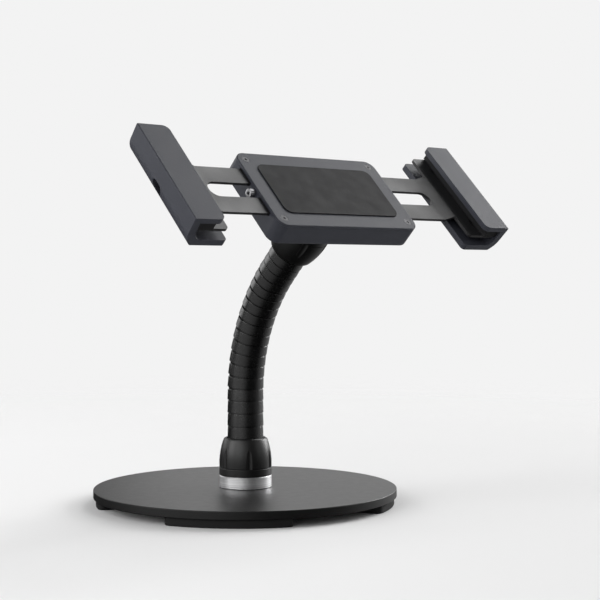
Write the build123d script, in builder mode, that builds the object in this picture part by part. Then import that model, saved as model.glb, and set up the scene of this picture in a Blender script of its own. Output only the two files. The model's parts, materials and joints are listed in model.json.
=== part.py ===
from build123d import *
import os
from math import asin, cos, degrees, pi, radians, sin, sqrt

os.makedirs("parts", exist_ok=True)

# Base plate and its rubber feet
plate_diameter = 225.3
plate_thickness = 6.0
plate_chamfer = 0.6
foot_height = 6.0
foot_inset = 1.9
foot_width = 22.0
foot_sweep = 48.5
foot_corner = 5.0
foot_edge = 0.8
foot_screw_sweep = 26.0
foot_screw_diameter = 4.0
foot_screw_sink = 1.5
foot_screw_length = 9.0
foot_directions = {"front_left": 225.0, "front_right": 315.0, "back_right": 45.0, "back_left": 135.0}

# Ring, band and lock collar, the same at both ends of the neck
collar_wall = 3.05
ring_height = 9.1
band_height = 5.6
collar_height = 36.9
collar_straight = 3.0
collar_mouth_wall = 2.0
collar_mouth_round = 1.4
edge_break = 0.4
flute_count = 6
flute_radius = 3.0
flute_depth = 1.2

# Threaded post, swivel journal and friction washer
post_height = 21.0
journal_diameter = 18.0
journal_length = 10.0
flange_overhang = 2.55
flange_thickness = 3.0
washer_thickness = 1.0
centre_bolt_diameter = 8.0
centre_bolt_depth = 8.0
centre_bolt_flats = 13.0
centre_bolt_head = 4.4

# Neck links: the ball of each one sits in the skirt of the next
neck_diameter = 26.9
skirt_wall = 0.65
rim_drop = 1.0
rim_bevel = 0.15
flank_taper = 0.3
shoulder_bevel = 0.3
ball_rise = 1.0
link_bore = 19.0
link_count = 18
foot_link_pitch = 9.9
head_link_pitch = 7.25
neck_upright = 32.0
bend_radius = 130.0
bend_angle = 45.0
neck_bend_range = 35.0
neck_sway_range = 18.0
sway_every = 3

# Tension wire with a swaged end in each fitting
wire_diameter = 5.0
swage_diameter = 10.0
swage_length = 5.0
swage_pocket = 6.0
cup_floor = 2.0

# Jaws: C-shaped channels round the short edges of the tablet
jaw_length = 89.6
jaw_reach = 143.3
lip_depth = 24.0
lip_thickness = 4.0
lip_corner = 5.0
slot_height = 6.4
jaw_wall = 5.5
jaw_lean = 0.9
jaw_side_height = 10.9
jaw_back_round = 5.6
jaw_back_depth = 34.0
jaw_back_gap = 7.3
jaw_back_thickness = 4.7
jaw_back_corner = 3.0
jaw_edge = 0.8
jaw_travel = 24.0
liner_gap = 248.2
liner_inset = 1.5
liner_lip_thickness = 0.4
liner_lip_inset = 0.8
liner_corner = 3.0
key_hole_length = 12.0
key_hole_height = 7.6
key_hole_offset = 2.0
key_hole_drop = 6.2

# Arms: a wide tray under the tablet and two tines that slide in the housing
arm_thickness = 2.0
tray_width = 84.0
tray_depth = 26.0
tray_corner = 3.0
tine_drop = 3.4
joggle_run = 8.0
tine_width = 15.0
tine_gap = 14.0
tine_end = 26.0
boss_diameter = 8.0
boss_spacing = 56.0
boss_inset = 13.0
jaw_screw_diameter = 3.0
jaw_screw_length = 9.0

# Centre housing, its cover and pad, and the flange behind it
housing_length = 128.0
housing_width = 72.0
housing_corner = 8.0
housing_wall = 2.5
housing_back = 18.5
housing_back_edge = 2.4
rail_width = 2.0
cover_thickness = 2.2
cover_edge = 0.8
cover_screw_diameter = 3.0
cover_screw_length = 8.0
cover_screw_inset = 7.0
cover_post_diameter = 8.0
pad_thickness = 0.8
pad_margin = 12.0
pad_corner = 6.0
mount_flange_diameter = 54.0
mount_flange_thickness = 3.0
flange_screw_circle = 46.0
flange_screw_diameter = 4.0

# Width screw, right-hand thread on one side and left-hand on the other, and its nuts
width_screw_diameter = 4.0
width_screw_drop = 5.9
width_screw_head = 6.4
width_screw_head_length = 4.0
width_screw_key = 2.5
width_screw_key_depth = 2.5
retaining_ring_diameter = 5.6
retaining_ring_thickness = 1.0
nut_length = 8.0
nut_bottom = 9.4
nut_ear = 5.0
nut_ear_thickness = 2.0
nut_screw_diameter = 2.0

# Clearances
ball_clearance = 0.1
running_clearance = 0.05
thread_clearance = 0.15
slide_clearance = 0.4
face_clearance = 0.1
loose_clearance = 0.3
mouth_clearance = 1.0

# Sizes that follow from the ones above
plate_top = foot_height + plate_thickness
neck_radius = neck_diameter / 2
socket_radius = neck_radius - skirt_wall
ball_radius = socket_radius - ball_clearance
sway_joints = [joint for joint in range(link_count + 1) if joint % sway_every == sway_every - 1]
bend_share = radians(neck_bend_range / (link_count + 1 - len(sway_joints)))
sway_share = radians(neck_sway_range / len(sway_joints))
tilt_limit = foot_link_pitch / bend_radius + max(bend_share, sway_share)
socket_roof = ball_rise + ball_radius * sin(tilt_limit) + face_clearance
flange_radius = neck_radius + flange_overhang
post_radius = flange_radius + loose_clearance
post_bore = journal_diameter / 2 + running_clearance
post_floor = post_height - journal_length - loose_clearance
flange_top = post_height + flange_thickness
shoulder = flange_top + washer_thickness + face_clearance
sleeve_bore = post_radius + thread_clearance
collar_radius = sleeve_bore + collar_wall
mouth_radius = neck_radius + mouth_clearance
swage_top = post_height - journal_length + swage_pocket
holder_depth = housing_back + mount_flange_thickness
cover_back = pad_thickness + cover_thickness
tine_back = tine_drop + arm_thickness
lip_front = slot_height + lip_thickness
lip_edge = jaw_reach - lip_depth
wall_inside = jaw_reach - jaw_lean - jaw_wall
tray_edge = wall_inside - slide_clearance
housing_floor = housing_back - housing_wall
housing_side = housing_length / 2


def save(piece, name):
    piece.part.label = name
    export_step(piece.part, f"parts/{name}.step")


# Frames: a section plane holds an axis that leans forward, with X across it and Y along it
def along(lean):
    return Vector(0, -sin(lean), cos(lean))


def section_plane(origin, lean):
    return Plane(origin=origin, x_dir=(1, 0, 0), z_dir=(0, -cos(lean), -sin(lean)))


def cross_plane(origin, lean):
    return Plane(origin=origin, x_dir=(1, 0, 0), z_dir=along(lean))


def width_at(radius, height):
    return sqrt(radius**2 - height**2)


def latitude(radius, height):
    return degrees(asin(height / radius))


def sphere_arc(centre_height, radius, low, high):
    start = latitude(radius, low)
    return CenterArc((0, centre_height), radius, start, latitude(radius, high) - start)


# Turned pieces and screws
def turned(origin, lean, points):
    with BuildPart() as piece:
        with BuildSketch(section_plane(origin, lean)):
            with BuildLine():
                Polyline(*points, close=True)
            make_face()
        revolve(axis=Axis(origin, along(lean)))
    return piece


def sleeve_points(inner, outer, low, high):
    return [
        (inner, low),
        (outer - edge_break, low),
        (outer, low + edge_break),
        (outer, high - edge_break),
        (outer - edge_break, high),
        (inner, high),
    ]


def countersunk_screws(plane, places, diameter, length):
    radius = diameter / 2
    points = [(0, 0), (diameter, 0), (radius, -radius), (radius, -length), (0, -length)]
    with BuildPart() as screws:
        for place in places:
            origin = plane.from_local_coords((*place, 0))
            with BuildSketch(Plane(origin=origin, x_dir=plane.x_dir, z_dir=-plane.y_dir)):
                with BuildLine():
                    Polyline(*points, close=True)
                make_face()
            revolve(axis=Axis(origin, plane.z_dir))
    return screws


# Places along the neck: link by link along the upright, the bend and the straight end
pitch_step = (foot_link_pitch - head_link_pitch) / (link_count - 1)
link_pitches = [foot_link_pitch - pitch_step * link for link in range(link_count)]


def lean_at(distance):
    return min(max((distance - neck_upright) / bend_radius, 0), radians(bend_angle))


base_face = Vector(0, 0, plate_top)
pivots = [base_face + along(0) * collar_height]
link_leans = []
travelled = 0
for pitch in link_pitches:
    link_leans.append(lean_at(travelled + pitch / 2))
    pivots.append(pivots[-1] + along(link_leans[-1]) * pitch)
    travelled += pitch
head_lean = radians(bend_angle)
head_out = along(head_lean)


# A joint's ball reaches down past the rim of its socket by what the joint can tilt
def ball_drop_at(joint):
    leans = [0, *link_leans, head_lean]
    share = sway_share if joint in sway_joints else bend_share
    return rim_drop + neck_radius * sin(leans[joint + 1] - leans[joint] + share) + face_clearance


stack_lean = head_lean + pi
stack_face = pivots[-1] + head_out * collar_height
seat = Plane(origin=stack_face + head_out * holder_depth, x_dir=(1, 0, 0), z_dir=head_out)
seat_section = section_plane(seat.origin, head_lean)
print("seat centre", seat.origin, "most tilt between links", round(degrees(tilt_limit), 2))


# Fasteners under the base
foot_radius = plate_diameter / 2 - foot_inset
screw_radius = foot_radius - foot_width / 2
screw_angles = [
    direction + turn
    for direction in foot_directions.values()
    for turn in (-foot_screw_sweep / 2, foot_screw_sweep / 2)
]
underside = Plane(origin=(0, 0, foot_screw_sink), x_dir=(1, 0, 0), z_dir=(0, 0, -1))
foot_screws = countersunk_screws(
    underside,
    [(screw_radius * cos(radians(a)), -screw_radius * sin(radians(a))) for a in screw_angles],
    foot_screw_diameter,
    foot_screw_length,
)
save(foot_screws, "foot_screws")

with BuildPart() as centre_bolt:
    with BuildSketch(Plane.XY.offset(foot_height)):
        RegularPolygon(centre_bolt_flats / 2, 6, major_radius=False)
    extrude(amount=-centre_bolt_head)
    with BuildSketch(Plane.XY.offset(foot_height)):
        Circle(centre_bolt_diameter / 2)
    extrude(amount=plate_thickness + centre_bolt_depth)
save(centre_bolt, "centre_bolt")


# Base plate
with BuildPart() as base_plate:
    with BuildSketch(Plane.XY.offset(foot_height)):
        Circle(plate_diameter / 2)
        Circle(centre_bolt_diameter / 2 + loose_clearance, mode=Mode.SUBTRACT)
    extrude(amount=plate_thickness)
    chamfer(base_plate.edges().filter_by(GeomType.CIRCLE).sort_by(SortBy.RADIUS)[-2:], plate_chamfer)
    add(foot_screws.part, mode=Mode.SUBTRACT)
save(base_plate, "base_plate")


# Feet: pads that follow the plate's rim
for corner, direction in foot_directions.items():
    with BuildPart() as foot:
        with BuildSketch():
            with BuildLine():
                start = direction - foot_sweep / 2
                outer_arc = CenterArc((0, 0), foot_radius, start, foot_sweep)
                inner_arc = CenterArc((0, 0), foot_radius - foot_width, start, foot_sweep)
                Line(inner_arc @ 0, outer_arc @ 0)
                Line(inner_arc @ 1, outer_arc @ 1)
            make_face()
            fillet(vertices(), foot_corner)
        extrude(amount=foot_height)
        fillet(foot.faces().sort_by(Axis.Z)[0].edges(), foot_edge)
        with BuildSketch():
            with PolarLocations(screw_radius, 2, direction - foot_screw_sweep / 2, 2 * foot_screw_sweep):
                Circle(foot_screw_diameter)
        extrude(amount=foot_screw_sink, mode=Mode.SUBTRACT)
        add(foot_screws.part, mode=Mode.SUBTRACT)
    save(foot, f"foot_{corner}")


# The stack at each end of the neck: ring, band, collar and washer round a threaded post
def lock_collar(origin, lean):
    low = ring_height + band_height + face_clearance
    dome_start = low + collar_straight
    top = mouth_radius + collar_mouth_wall
    with BuildPart() as collar:
        with BuildSketch(section_plane(origin, lean)):
            with BuildLine():
                dome_top = (top, collar_height - collar_mouth_round)
                dome = TangentArc((collar_radius, dome_start), dome_top, tangent=(0, 1))
                lip = TangentArc(dome_top, (top - collar_mouth_round, collar_height), tangent=dome % 1)
                Polyline(
                    lip @ 1,
                    (mouth_radius, collar_height),
                    (mouth_radius, shoulder),
                    (sleeve_bore, shoulder),
                    (sleeve_bore, low),
                    (collar_radius - edge_break, low),
                    (collar_radius, low + edge_break),
                    dome @ 0,
                )
            make_face()
        revolve(axis=Axis(origin, along(lean)))
        with BuildSketch(cross_plane(origin + along(lean) * low, lean)):
            with PolarLocations(collar_radius + flute_radius - flute_depth, flute_count):
                Circle(flute_radius)
        extrude(amount=collar_height, mode=Mode.SUBTRACT)
    return collar


def end_stack(end, origin, lean):
    band_low = ring_height
    band_high = ring_height + band_height
    save(turned(origin, lean, sleeve_points(sleeve_bore, collar_radius, 0, ring_height)), f"{end}_ring")
    save(turned(origin, lean, sleeve_points(sleeve_bore, collar_radius, band_low, band_high)), f"{end}_band")
    save(lock_collar(origin, lean), f"{end}_collar")
    washer_inside = neck_radius + loose_clearance
    washer_top = flange_top + washer_thickness
    washer_points = [
        (washer_inside, flange_top),
        (flange_radius, flange_top),
        (flange_radius, washer_top),
        (washer_inside, washer_top),
    ]
    save(turned(origin, lean, washer_points), f"{end}_washer")


end_stack("base", base_face, 0)
end_stack("head", stack_face, stack_lean)

bolt_radius = centre_bolt_diameter / 2
bore_points = [(post_radius, post_height), (post_bore, post_height), (post_bore, post_floor), (0, post_floor)]
base_post_points = [(0, centre_bolt_depth), (bolt_radius, centre_bolt_depth), (bolt_radius, 0), (post_radius, 0)]
save(turned(base_face, 0, base_post_points + bore_points), "base_post")

flange_outside = mount_flange_diameter / 2
head_post_points = [
    (0, -mount_flange_thickness),
    (flange_outside, -mount_flange_thickness),
    (flange_outside, 0),
    (post_radius, 0),
]
flange_screw_offset = flange_screw_circle / 2 * cos(radians(45))
flange_screws = countersunk_screws(
    seat.offset(-housing_floor),
    [(x * flange_screw_offset, y * flange_screw_offset) for x in (-1, 1) for y in (-1, 1)],
    flange_screw_diameter,
    housing_wall + mount_flange_thickness,
)
save(flange_screws, "flange_screws")
with BuildPart() as head_post:
    add(turned(stack_face, stack_lean, head_post_points + bore_points).part)
    add(flange_screws.part, mode=Mode.SUBTRACT)
save(head_post, "head_post")


# Fittings at the two ends of the neck
wire_hole = wire_diameter / 2 + loose_clearance
swage_bore = swage_diameter / 2 + loose_clearance
bore = link_bore / 2
journal_points = [
    (bore, flange_top + cup_floor),
    (wire_hole, flange_top + cup_floor),
    (wire_hole, swage_top),
    (swage_bore, swage_top),
    (swage_bore, post_height - journal_length),
    (journal_diameter / 2, post_height - journal_length),
    (journal_diameter / 2, post_height),
    (flange_radius, post_height),
    (flange_radius, flange_top),
]
with BuildPart() as neck_foot:
    with BuildSketch(section_plane(base_face, 0)):
        with BuildLine():
            foot_drop = ball_drop_at(0)
            ball = sphere_arc(collar_height, ball_radius, -foot_drop, ball_rise)
            stem = (width_at(ball_radius, foot_drop), flange_top)
            Polyline(ball @ 1, (bore, collar_height + ball_rise), *journal_points, stem, ball @ 0)
        make_face()
    revolve(axis=Axis(base_face, along(0)))
save(neck_foot, "neck_foot")

with BuildPart() as neck_head:
    with BuildSketch(section_plane(stack_face, stack_lean)):
        with BuildLine():
            socket = sphere_arc(collar_height, socket_radius, -socket_roof, rim_drop)
            rim = (neck_radius - rim_bevel, collar_height + rim_drop)
            skirt = [rim, (neck_radius, collar_height), (neck_radius, flange_top)]
            roof = (bore, collar_height - socket_roof)
            Polyline(socket @ 0, roof, *journal_points, *reversed(skirt), socket @ 1)
        make_face()
    revolve(axis=Axis(stack_face, along(stack_lean)))
save(neck_head, "neck_head")


# Neck links
for link, pitch in enumerate(link_pitches):
    pivot = pivots[link]
    lean = link_leans[link]
    with BuildPart() as neck_link:
        with BuildSketch(section_plane(pivot, lean)):
            with BuildLine():
                socket = sphere_arc(0, socket_radius, -rim_drop, socket_roof)
                ball_drop = ball_drop_at(link + 1)
                ball = sphere_arc(pitch, ball_radius, -ball_drop, ball_rise)
                Polyline(socket @ 1, (bore, socket_roof), (bore, pitch + ball_rise), ball @ 1)
                Polyline(
                    socket @ 0,
                    (neck_radius - rim_bevel, -rim_drop),
                    (neck_radius, rim_bevel - rim_drop),
                    (neck_radius - flank_taper, pitch - ball_drop - shoulder_bevel),
                    ball @ 0,
                )
            make_face()
        revolve(axis=Axis(pivot, along(lean)))
    save(neck_link, f"link_{link + 1:02d}")


# Tension wire through the links
wire_start = base_face + along(0) * (swage_top - swage_length)
bend_start = pivots[0] + along(0) * neck_upright
bend_centre = bend_start - Vector(0, bend_radius, 0)


def on_bend(lean):
    return bend_centre + Vector(0, cos(lean), sin(lean)) * bend_radius


wire_end = stack_face + along(stack_lean) * (swage_top - swage_length)
with BuildPart() as tension_wire:
    with BuildLine():
        Line(wire_start, bend_start)
        ThreePointArc(bend_start, on_bend(head_lean / 2), on_bend(head_lean))
        Line(on_bend(head_lean), wire_end)
    with BuildSketch(cross_plane(wire_start, 0)):
        Circle(wire_diameter / 2)
    sweep()
    for end, lean in ((wire_start, 0), (wire_end, stack_lean)):
        with BuildSketch(cross_plane(end, lean)):
            Circle(swage_diameter / 2)
        extrude(amount=swage_length)
save(tension_wire, "tension_wire")


# Holder pieces that come in a left and a right hand
def tray_places(side):
    return [(side * (tray_edge - boss_inset), v) for v in (-boss_spacing / 2, boss_spacing / 2)]


def jaw(side, screws):
    wall_foot = lip_front - jaw_side_height
    back_face = -jaw_back_gap - jaw_back_thickness
    back_edge = jaw_reach - jaw_back_depth
    wall_outside = jaw_reach - jaw_lean
    with BuildPart() as shell:
        with BuildSketch(seat_section):
            with BuildLine():
                outer_round = TangentArc(
                    (side * wall_outside, wall_foot),
                    (side * (wall_outside - jaw_back_round), back_face),
                    tangent=(0, -1),
                )
                inner_round = TangentArc(
                    (side * wall_inside, wall_foot),
                    (side * (wall_inside - jaw_wall), -jaw_back_gap),
                    tangent=(0, -1),
                )
                Polyline(
                    inner_round @ 0,
                    (side * (jaw_reach - jaw_wall), slot_height),
                    (side * lip_edge, slot_height),
                    (side * lip_edge, lip_front),
                    (side * jaw_reach, lip_front),
                    outer_round @ 0,
                )
                Polyline(
                    outer_round @ 1,
                    (side * back_edge, back_face),
                    (side * back_edge, -jaw_back_gap),
                    inner_round @ 1,
                )
            make_face()
        extrude(amount=jaw_length / 2, both=True)
        upright_edges = shell.edges().filter_by(Axis((0, 0, 0), head_out))
        fillet(upright_edges.filter_by_position(Axis.X, *near(side * lip_edge)), lip_corner)
        fillet(upright_edges.filter_by_position(Axis.X, *near(side * back_edge)), jaw_back_corner)
        front_edge = shell.edges().filter_by(Axis((0, 0, 0), seat.y_dir))
        fillet(front_edge.filter_by_position(Axis.X, *near(side * jaw_reach)), jaw_edge)
        with BuildSketch(seat.offset(-jaw_back_gap)):
            with Locations(*tray_places(side)):
                Circle(boss_diameter / 2)
        extrude(amount=jaw_back_gap - arm_thickness)
        add(screws.part, mode=Mode.SUBTRACT)
    return shell


def near(value):
    return value - face_clearance, value + face_clearance


def arm(side, jaw_screws, nut_screws):
    tray_inside = tray_edge - tray_depth
    tine_start = tray_inside - joggle_run
    tine_spread = tine_gap / 2 + tine_width
    with BuildPart() as blank:
        with BuildSketch(seat_section):
            with BuildLine():
                Polyline(
                    (side * tray_edge, 0),
                    (side * tray_inside, 0),
                    (side * tine_start, -tine_drop),
                    (side * tine_end, -tine_drop),
                    (side * tine_end, -tine_back),
                    (side * tine_start, -tine_back),
                    (side * tray_inside, -arm_thickness),
                    (side * tray_edge, -arm_thickness),
                    close=True,
                )
            make_face()
        extrude(amount=tine_spread, both=True)
        with BuildSketch(seat):
            with Locations((side * (tray_edge - tray_depth / 2), 0)):
                RectangleRounded(tray_depth, tray_width, tray_corner)
        extrude(amount=-arm_thickness)
        slot_length = tine_start - tine_end
        with BuildSketch(seat):
            with Locations((side * tine_end, 0)):
                SlotCenterToCenter(2 * (slot_length - tine_gap / 2), tine_gap)
        extrude(amount=-tine_back, mode=Mode.SUBTRACT)
        add(jaw_screws.part, mode=Mode.SUBTRACT)
        add(nut_screws.part, mode=Mode.SUBTRACT)
    return blank


nut_place = tine_end + nut_length / 2
nut_half = tine_gap / 2 - loose_clearance
ear_end = nut_half + nut_ear
across_plane = Plane(origin=seat.origin, x_dir=seat.y_dir, z_dir=(1, 0, 0))


def nut(side, screws):
    profile = [(nut_half, tine_drop), (nut_half, tine_back), (ear_end, tine_back)]
    profile += [(ear_end, tine_back + nut_ear_thickness), (nut_half, tine_back + nut_ear_thickness)]
    profile += [(nut_half, nut_bottom)]
    half = [(v, -w) for v, w in profile]
    other_half = [(-v, w) for v, w in reversed(half)]
    with BuildPart() as block:
        with BuildSketch(across_plane.offset(side * nut_place)):
            with BuildLine():
                Polyline(*half, *other_half, close=True)
            make_face()
            with Locations((0, -width_screw_drop)):
                Circle(width_screw_diameter / 2 + running_clearance, mode=Mode.SUBTRACT)
        extrude(amount=nut_length / 2, both=True)
        add(screws.part, mode=Mode.SUBTRACT)
    return block


def jaw_liner(side):
    liner_lip = lip_edge + liner_lip_inset
    lip_under = slot_height - liner_lip_thickness
    with BuildPart() as liner:
        with BuildSketch(seat_section):
            with BuildLine():
                Polyline(
                    (side * (wall_inside - face_clearance), 0),
                    (side * (jaw_reach - jaw_wall - face_clearance), slot_height),
                    (side * liner_lip, slot_height),
                    (side * liner_lip, lip_under),
                    (side * liner_gap / 2, lip_under),
                    (side * liner_gap / 2, 0),
                    close=True,
                )
            make_face()
        extrude(amount=jaw_length / 2 - liner_inset, both=True)
        lip_corners = liner.edges().filter_by(Axis((0, 0, 0), head_out))
        fillet(lip_corners.filter_by_position(Axis.X, *near(side * liner_lip)), liner_corner)
    return liner


jaw_shells = {}
for hand, side in (("left", -1), ("right", 1)):
    jaw_screws = countersunk_screws(seat, tray_places(side), jaw_screw_diameter, jaw_screw_length)
    ear_places = [(side * nut_place, v * (nut_half + ear_end) / 2) for v in (-1, 1)]
    nut_screw_length = arm_thickness + nut_ear_thickness
    nut_screws = countersunk_screws(seat.offset(-tine_drop), ear_places, nut_screw_diameter, nut_screw_length)
    jaw_shells[hand] = jaw(side, jaw_screws)
    save(jaw_screws, f"jaw_screws_{hand}")
    save(nut_screws, f"nut_screws_{hand}")
    save(arm(side, jaw_screws, nut_screws), f"arm_{hand}")
    save(nut(side, nut_screws), f"nut_{hand}")
    save(jaw_liner(side), f"jaw_liner_{hand}")
save(jaw_shells["right"], "jaw_right")

# The key reaches the width screw through a slot in the left jaw's outer wall
with BuildPart() as jaw_left:
    add(jaw_shells["left"].part)
    with BuildSketch(across_plane.offset(-jaw_reach)):
        with Locations((key_hole_offset, -key_hole_drop)):
            SlotOverall(key_hole_length, key_hole_height)
    extrude(amount=2 * jaw_wall, mode=Mode.SUBTRACT)
save(jaw_left, "jaw_left")


# Centre housing
cover_screw_x = housing_side - cover_screw_inset
cover_screw_y = housing_width / 2 - cover_screw_inset
cover_screw_places = [(x * cover_screw_x, y * cover_screw_y) for x in (-1, 1) for y in (-1, 1)]
cover_screws = countersunk_screws(
    seat.offset(-pad_thickness), cover_screw_places, cover_screw_diameter, cover_screw_length
)
save(cover_screws, "cover_screws")

tine_middle = (tine_gap + tine_width) / 2
rail_middle = tine_gap / 2 + tine_width - rail_width / 2
rail_top = tine_back + slide_clearance
with BuildPart() as rear_housing:
    with BuildSketch(seat.offset(-housing_back)):
        RectangleRounded(housing_length, housing_width, housing_corner)
    extrude(amount=housing_back - cover_back)
    back_edges = rear_housing.faces().sort_by(Axis((0, 0, 0), head_out))[0].edges()
    fillet(back_edges, housing_back_edge)
    inside_length = housing_length - 2 * housing_wall
    inside_width = housing_width - 2 * housing_wall
    with BuildSketch(seat.offset(-housing_floor)):
        RectangleRounded(inside_length, inside_width, housing_corner - housing_wall)
    extrude(amount=housing_floor - cover_back, mode=Mode.SUBTRACT)
    with BuildSketch(seat.offset(-housing_floor)):
        with Locations(*cover_screw_places):
            Circle(cover_post_diameter / 2)
    extrude(amount=housing_floor - cover_back)
    with BuildSketch(seat.offset(-housing_floor)):
        with Locations((0, rail_middle), (0, -rail_middle)):
            Rectangle(inside_length, rail_width)
    extrude(amount=housing_floor - rail_top)
    with BuildSketch(seat.offset(-cover_back)):
        with GridLocations(housing_length, 2 * tine_middle, 2, 2):
            Rectangle(4 * housing_wall, tine_width + 2 * slide_clearance)
    extrude(amount=cover_back - rail_top, mode=Mode.SUBTRACT)
    with BuildSketch(across_plane.offset(-housing_side)):
        with Locations((0, -width_screw_drop)):
            Circle(width_screw_diameter / 2 + running_clearance)
    extrude(amount=housing_length, mode=Mode.SUBTRACT)
    add(cover_screws.part, mode=Mode.SUBTRACT)
    add(flange_screws.part, mode=Mode.SUBTRACT)
save(rear_housing, "rear_housing")

with BuildPart() as front_cover:
    with BuildSketch(seat.offset(-cover_back)):
        RectangleRounded(housing_length, housing_width, housing_corner)
    extrude(amount=cover_thickness)
    fillet(front_cover.faces().sort_by(Axis((0, 0, 0), head_out))[-1].edges(), cover_edge)
    add(cover_screws.part, mode=Mode.SUBTRACT)
save(front_cover, "front_cover")

with BuildPart() as cover_pad:
    with BuildSketch(seat.offset(-pad_thickness)):
        RectangleRounded(housing_length - 2 * pad_margin, housing_width - 2 * pad_margin, pad_corner)
    extrude(amount=pad_thickness)
save(cover_pad, "cover_pad")


# Width screw and its retaining ring
screw_centre = (0, -width_screw_drop)
head_place = -housing_side - loose_clearance
with BuildPart() as width_screw:
    with BuildSketch(across_plane.offset(head_place)):
        with Locations(screw_centre):
            Circle(width_screw_diameter / 2)
    extrude(amount=2 * housing_side + loose_clearance)
    with BuildSketch(across_plane.offset(head_place - width_screw_head_length)):
        with Locations(screw_centre):
            Circle(width_screw_head / 2)
    extrude(amount=width_screw_head_length)
    with BuildSketch(across_plane.offset(head_place - width_screw_head_length)):
        with Locations(screw_centre):
            RegularPolygon(width_screw_key / 2, 6, major_radius=False)
    extrude(amount=width_screw_key_depth, mode=Mode.SUBTRACT)
save(width_screw, "width_screw")

ring_place = -housing_side + housing_wall + loose_clearance
with BuildPart() as screw_ring:
    with BuildSketch(across_plane.offset(ring_place)):
        with Locations(screw_centre):
            Circle(retaining_ring_diameter / 2)
            Circle(width_screw_diameter / 2, mode=Mode.SUBTRACT)
    extrude(amount=retaining_ring_thickness)
save(screw_ring, "screw_ring")
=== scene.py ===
import bpy
import json
import math
from mathutils import Matrix, Vector

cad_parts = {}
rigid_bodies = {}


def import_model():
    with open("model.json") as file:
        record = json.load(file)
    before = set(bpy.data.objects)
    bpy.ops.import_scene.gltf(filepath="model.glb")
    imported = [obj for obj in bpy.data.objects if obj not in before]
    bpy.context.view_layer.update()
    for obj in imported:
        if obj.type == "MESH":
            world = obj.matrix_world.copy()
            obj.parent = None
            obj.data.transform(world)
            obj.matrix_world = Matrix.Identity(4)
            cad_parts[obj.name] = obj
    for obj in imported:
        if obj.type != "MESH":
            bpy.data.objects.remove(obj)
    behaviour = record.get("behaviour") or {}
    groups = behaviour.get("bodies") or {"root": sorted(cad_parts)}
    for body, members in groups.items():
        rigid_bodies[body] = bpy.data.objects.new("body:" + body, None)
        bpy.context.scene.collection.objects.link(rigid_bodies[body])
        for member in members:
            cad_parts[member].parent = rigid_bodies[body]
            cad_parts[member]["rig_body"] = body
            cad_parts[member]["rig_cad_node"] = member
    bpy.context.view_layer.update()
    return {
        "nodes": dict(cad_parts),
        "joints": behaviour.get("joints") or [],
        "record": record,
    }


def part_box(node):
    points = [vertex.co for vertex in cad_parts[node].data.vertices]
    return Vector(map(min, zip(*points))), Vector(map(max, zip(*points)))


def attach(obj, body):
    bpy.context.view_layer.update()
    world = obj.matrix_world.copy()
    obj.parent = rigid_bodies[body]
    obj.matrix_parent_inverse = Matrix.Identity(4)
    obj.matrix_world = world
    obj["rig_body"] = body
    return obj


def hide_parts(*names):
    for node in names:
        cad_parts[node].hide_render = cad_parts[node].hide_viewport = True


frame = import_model()
bpy.ops.object.select_all(action="DESELECT")
nodes = frame["nodes"]
joints = {joint["name"]: joint for joint in frame["joints"]}
mounts = {mount["name"]: mount for mount in frame["record"]["mounts"]}
print("frame loaded:", len(nodes), "nodes")

# Values that all pieces share: a millimetre and the welding distance in metres, angles in degrees
mm = 0.001
weld = 0.002 * mm
bevelAngle = 32
flatAngle = 0.3
up = Vector((0, 0, 1))


# Places: the base stack, each neck joint, the stack at the holder and the tablet's seat
def placeAt(origin, axis):
    across = Vector((1, 0, 0))
    place = Matrix((across, axis.cross(across), axis)).transposed().to_4x4()
    place.translation = origin
    return place


headOut = Vector(joints["head_roll"]["axis"]).normalized()
headFace = Vector(joints["head_roll"]["pos_m"])
seatCentre = Vector(mounts["tablet_back"]["pos_m"])
pivotOf = {joint["child"]: Vector(joint["pos_m"]) for joint in frame["joints"]
           if joint["name"].startswith(("neck_bend", "neck_sway"))}
linkNames = [f"link_{number:02d}" for number in range(1, 19)]
pivots = [pivotOf[name] for name in linkNames + ["neck_head"]]
baseFace = Vector((0, 0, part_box("base_plate")[1].z))
baseStack = placeAt(baseFace, up)
headStack = placeAt(headFace, -headOut)
seat = placeAt(seatCentre, headOut)


# Drawing tools: outlines are in millimetres
def arcPoints(centre, radius, start, end, count):
    angles = [math.radians(start + (end - start) * step / count) for step in range(count + 1)]
    return [(centre[0] + radius * math.cos(angle), centre[1] + radius * math.sin(angle)) for angle in angles]


def sweepPoints(centre, first, last, count):
    angle = first.angle_signed(last)
    return [tuple(centre + Matrix.Rotation(-angle * step / count, 2) @ first) for step in range(count + 1)]


def tangentArc(start, direction, end, count):
    start, end = Vector(start), Vector(end)
    normal = Vector((-direction[1], direction[0])).normalized()
    reach = end - start
    centre = start + normal * reach.length_squared / (2 * reach.dot(normal))
    return sweepPoints(centre, start - centre, end - centre, count)


def roundedOutline(corners, count):
    outline = []
    for index, (x, y, radius) in enumerate(corners):
        corner = Vector((x, y))
        if not radius:
            outline.append((x, y))
            continue
        before = (Vector(corners[index - 1][:2]) - corner).normalized()
        after = (Vector(corners[(index + 1) % len(corners)][:2]) - corner).normalized()
        half = before.angle(after) / 2
        reach = radius / math.tan(half)
        centre = corner + (before + after).normalized() * radius / math.sin(half)
        first, last = corner + before * reach - centre, corner + after * reach - centre
        outline += sweepPoints(centre, first, last, count)
    return outline


def pickOnly(piece):
    bpy.ops.object.select_all(action="DESELECT")
    piece.select_set(True)
    bpy.context.view_layer.objects.active = piece


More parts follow.
